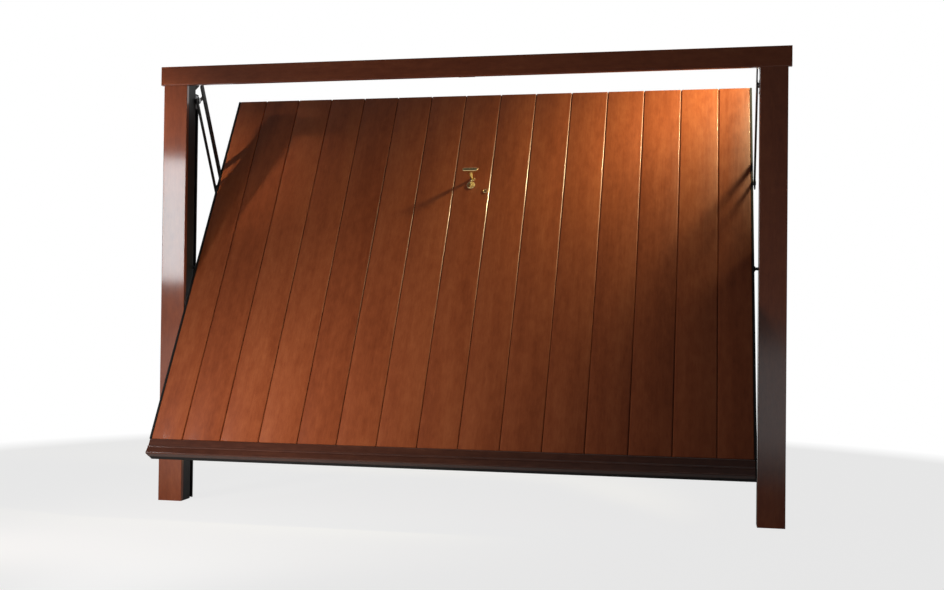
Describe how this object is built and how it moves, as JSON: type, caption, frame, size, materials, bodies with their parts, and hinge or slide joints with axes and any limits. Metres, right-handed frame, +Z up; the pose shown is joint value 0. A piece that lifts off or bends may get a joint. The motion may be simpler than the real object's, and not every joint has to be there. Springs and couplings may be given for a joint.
{
  "type": "up and over garage door",
  "caption": "Tilting garage door half open: an upright boarded timber leaf on a steel back frame, in a timber faced steel frame, carried by side arms and by rollers in upright rails.",
  "frame": {"origin": "centre of the left casing's foot, on the floor", "axes": "+X along the head, from the left jamb to the right one; +Y into the garage; +Z up"},
  "size_m": [3, 1.0877, 2.125],
  "materials": {
    "facing_timber": "red brown hardwood, satin lacquer",
    "leaf_timber": "red brown hardwood boards, satin lacquer",
    "drip_timber": "red brown hardwood, satin lacquer",
    "black_steel": "black paint, satin",
    "zinc_steel": "zinc plated",
    "roller_plastic": "black nylon",
    "polished_brass": "polished brass"
  },
  "bodies": {
    "frame": {"head": "facing_timber", "head_beam": "black_steel", "top_keep": "black_steel", "left_jamb": "facing_timber", "left_casing": "black_steel", "left_rail": "black_steel", "left_pivot": "zinc_steel", "left_corner_plate": "black_steel", "right_jamb": "facing_timber", "right_casing": "black_steel", "right_rail": "black_steel", "right_pivot": "zinc_steel", "right_corner_plate": "black_steel"},
    "leaf": {"board_panel": "leaf_timber", "left_stile": "black_steel", "right_stile": "black_steel", "top_rail": "black_steel", "upper_rail": "black_steel", "lock_rail": "black_steel", "lower_rail": "black_steel", "bottom_rail": "black_steel", "drip_rail": "drip_timber", "lock_case": "black_steel", "top_rod": "zinc_steel", "bottom_rod": "zinc_steel", "rod_guides": "black_steel", "handle_rose": "polished_brass", "lock_escutcheon": "polished_brass", "key_ring": "polished_brass", "left_roller": "roller_plastic", "left_arm_pin": "zinc_steel", "right_roller": "roller_plastic", "right_arm_pin": "zinc_steel"},
    "left_arm": {"left_thick_bar": "black_steel", "left_thin_bar": "black_steel", "left_upper_plate": "black_steel", "left_lower_plate": "black_steel"},
    "right_arm": {"right_thick_bar": "black_steel", "right_thin_bar": "black_steel", "right_upper_plate": "black_steel", "right_lower_plate": "black_steel"},
    "handle": {"t_handle": "polished_brass", "inside_knob": "polished_brass"}
  },
  "joints": [
    {"name": "left_arm_swing", "type": "hinge", "parent": "frame", "child": "left_arm", "pos_m": [0.0685, 0.0595, 1.975], "axis": [1, 0, 0], "range_deg": [-29.4, 56.6]},
    {"name": "leaf_tilt", "type": "hinge", "parent": "left_arm", "child": "leaf", "pos_m": [0.0685, 0.29366, 1.55943], "axis": [1, 0, 0], "range_deg": [-113.2, 58.8]},
    {"name": "right_arm_swing", "type": "hinge", "parent": "frame", "child": "right_arm", "pos_m": [2.7785, 0.0595, 1.975], "axis": [1, 0, 0], "range_deg": [-29.4, 56.6]},
    {"name": "handle_turn", "type": "hinge", "parent": "leaf", "child": "handle", "pos_m": [1.4235, 0.27783, 1.59245], "axis": [0, -0.8712, 0.4909], "range_deg": [0, 90]}
  ],
  "couplings": [
    {"joint": "leaf_tilt", "follows": "left_arm_swing", "ratio": -2},
    {"joint": "right_arm_swing", "follows": "left_arm_swing", "ratio": 1}
  ]
}
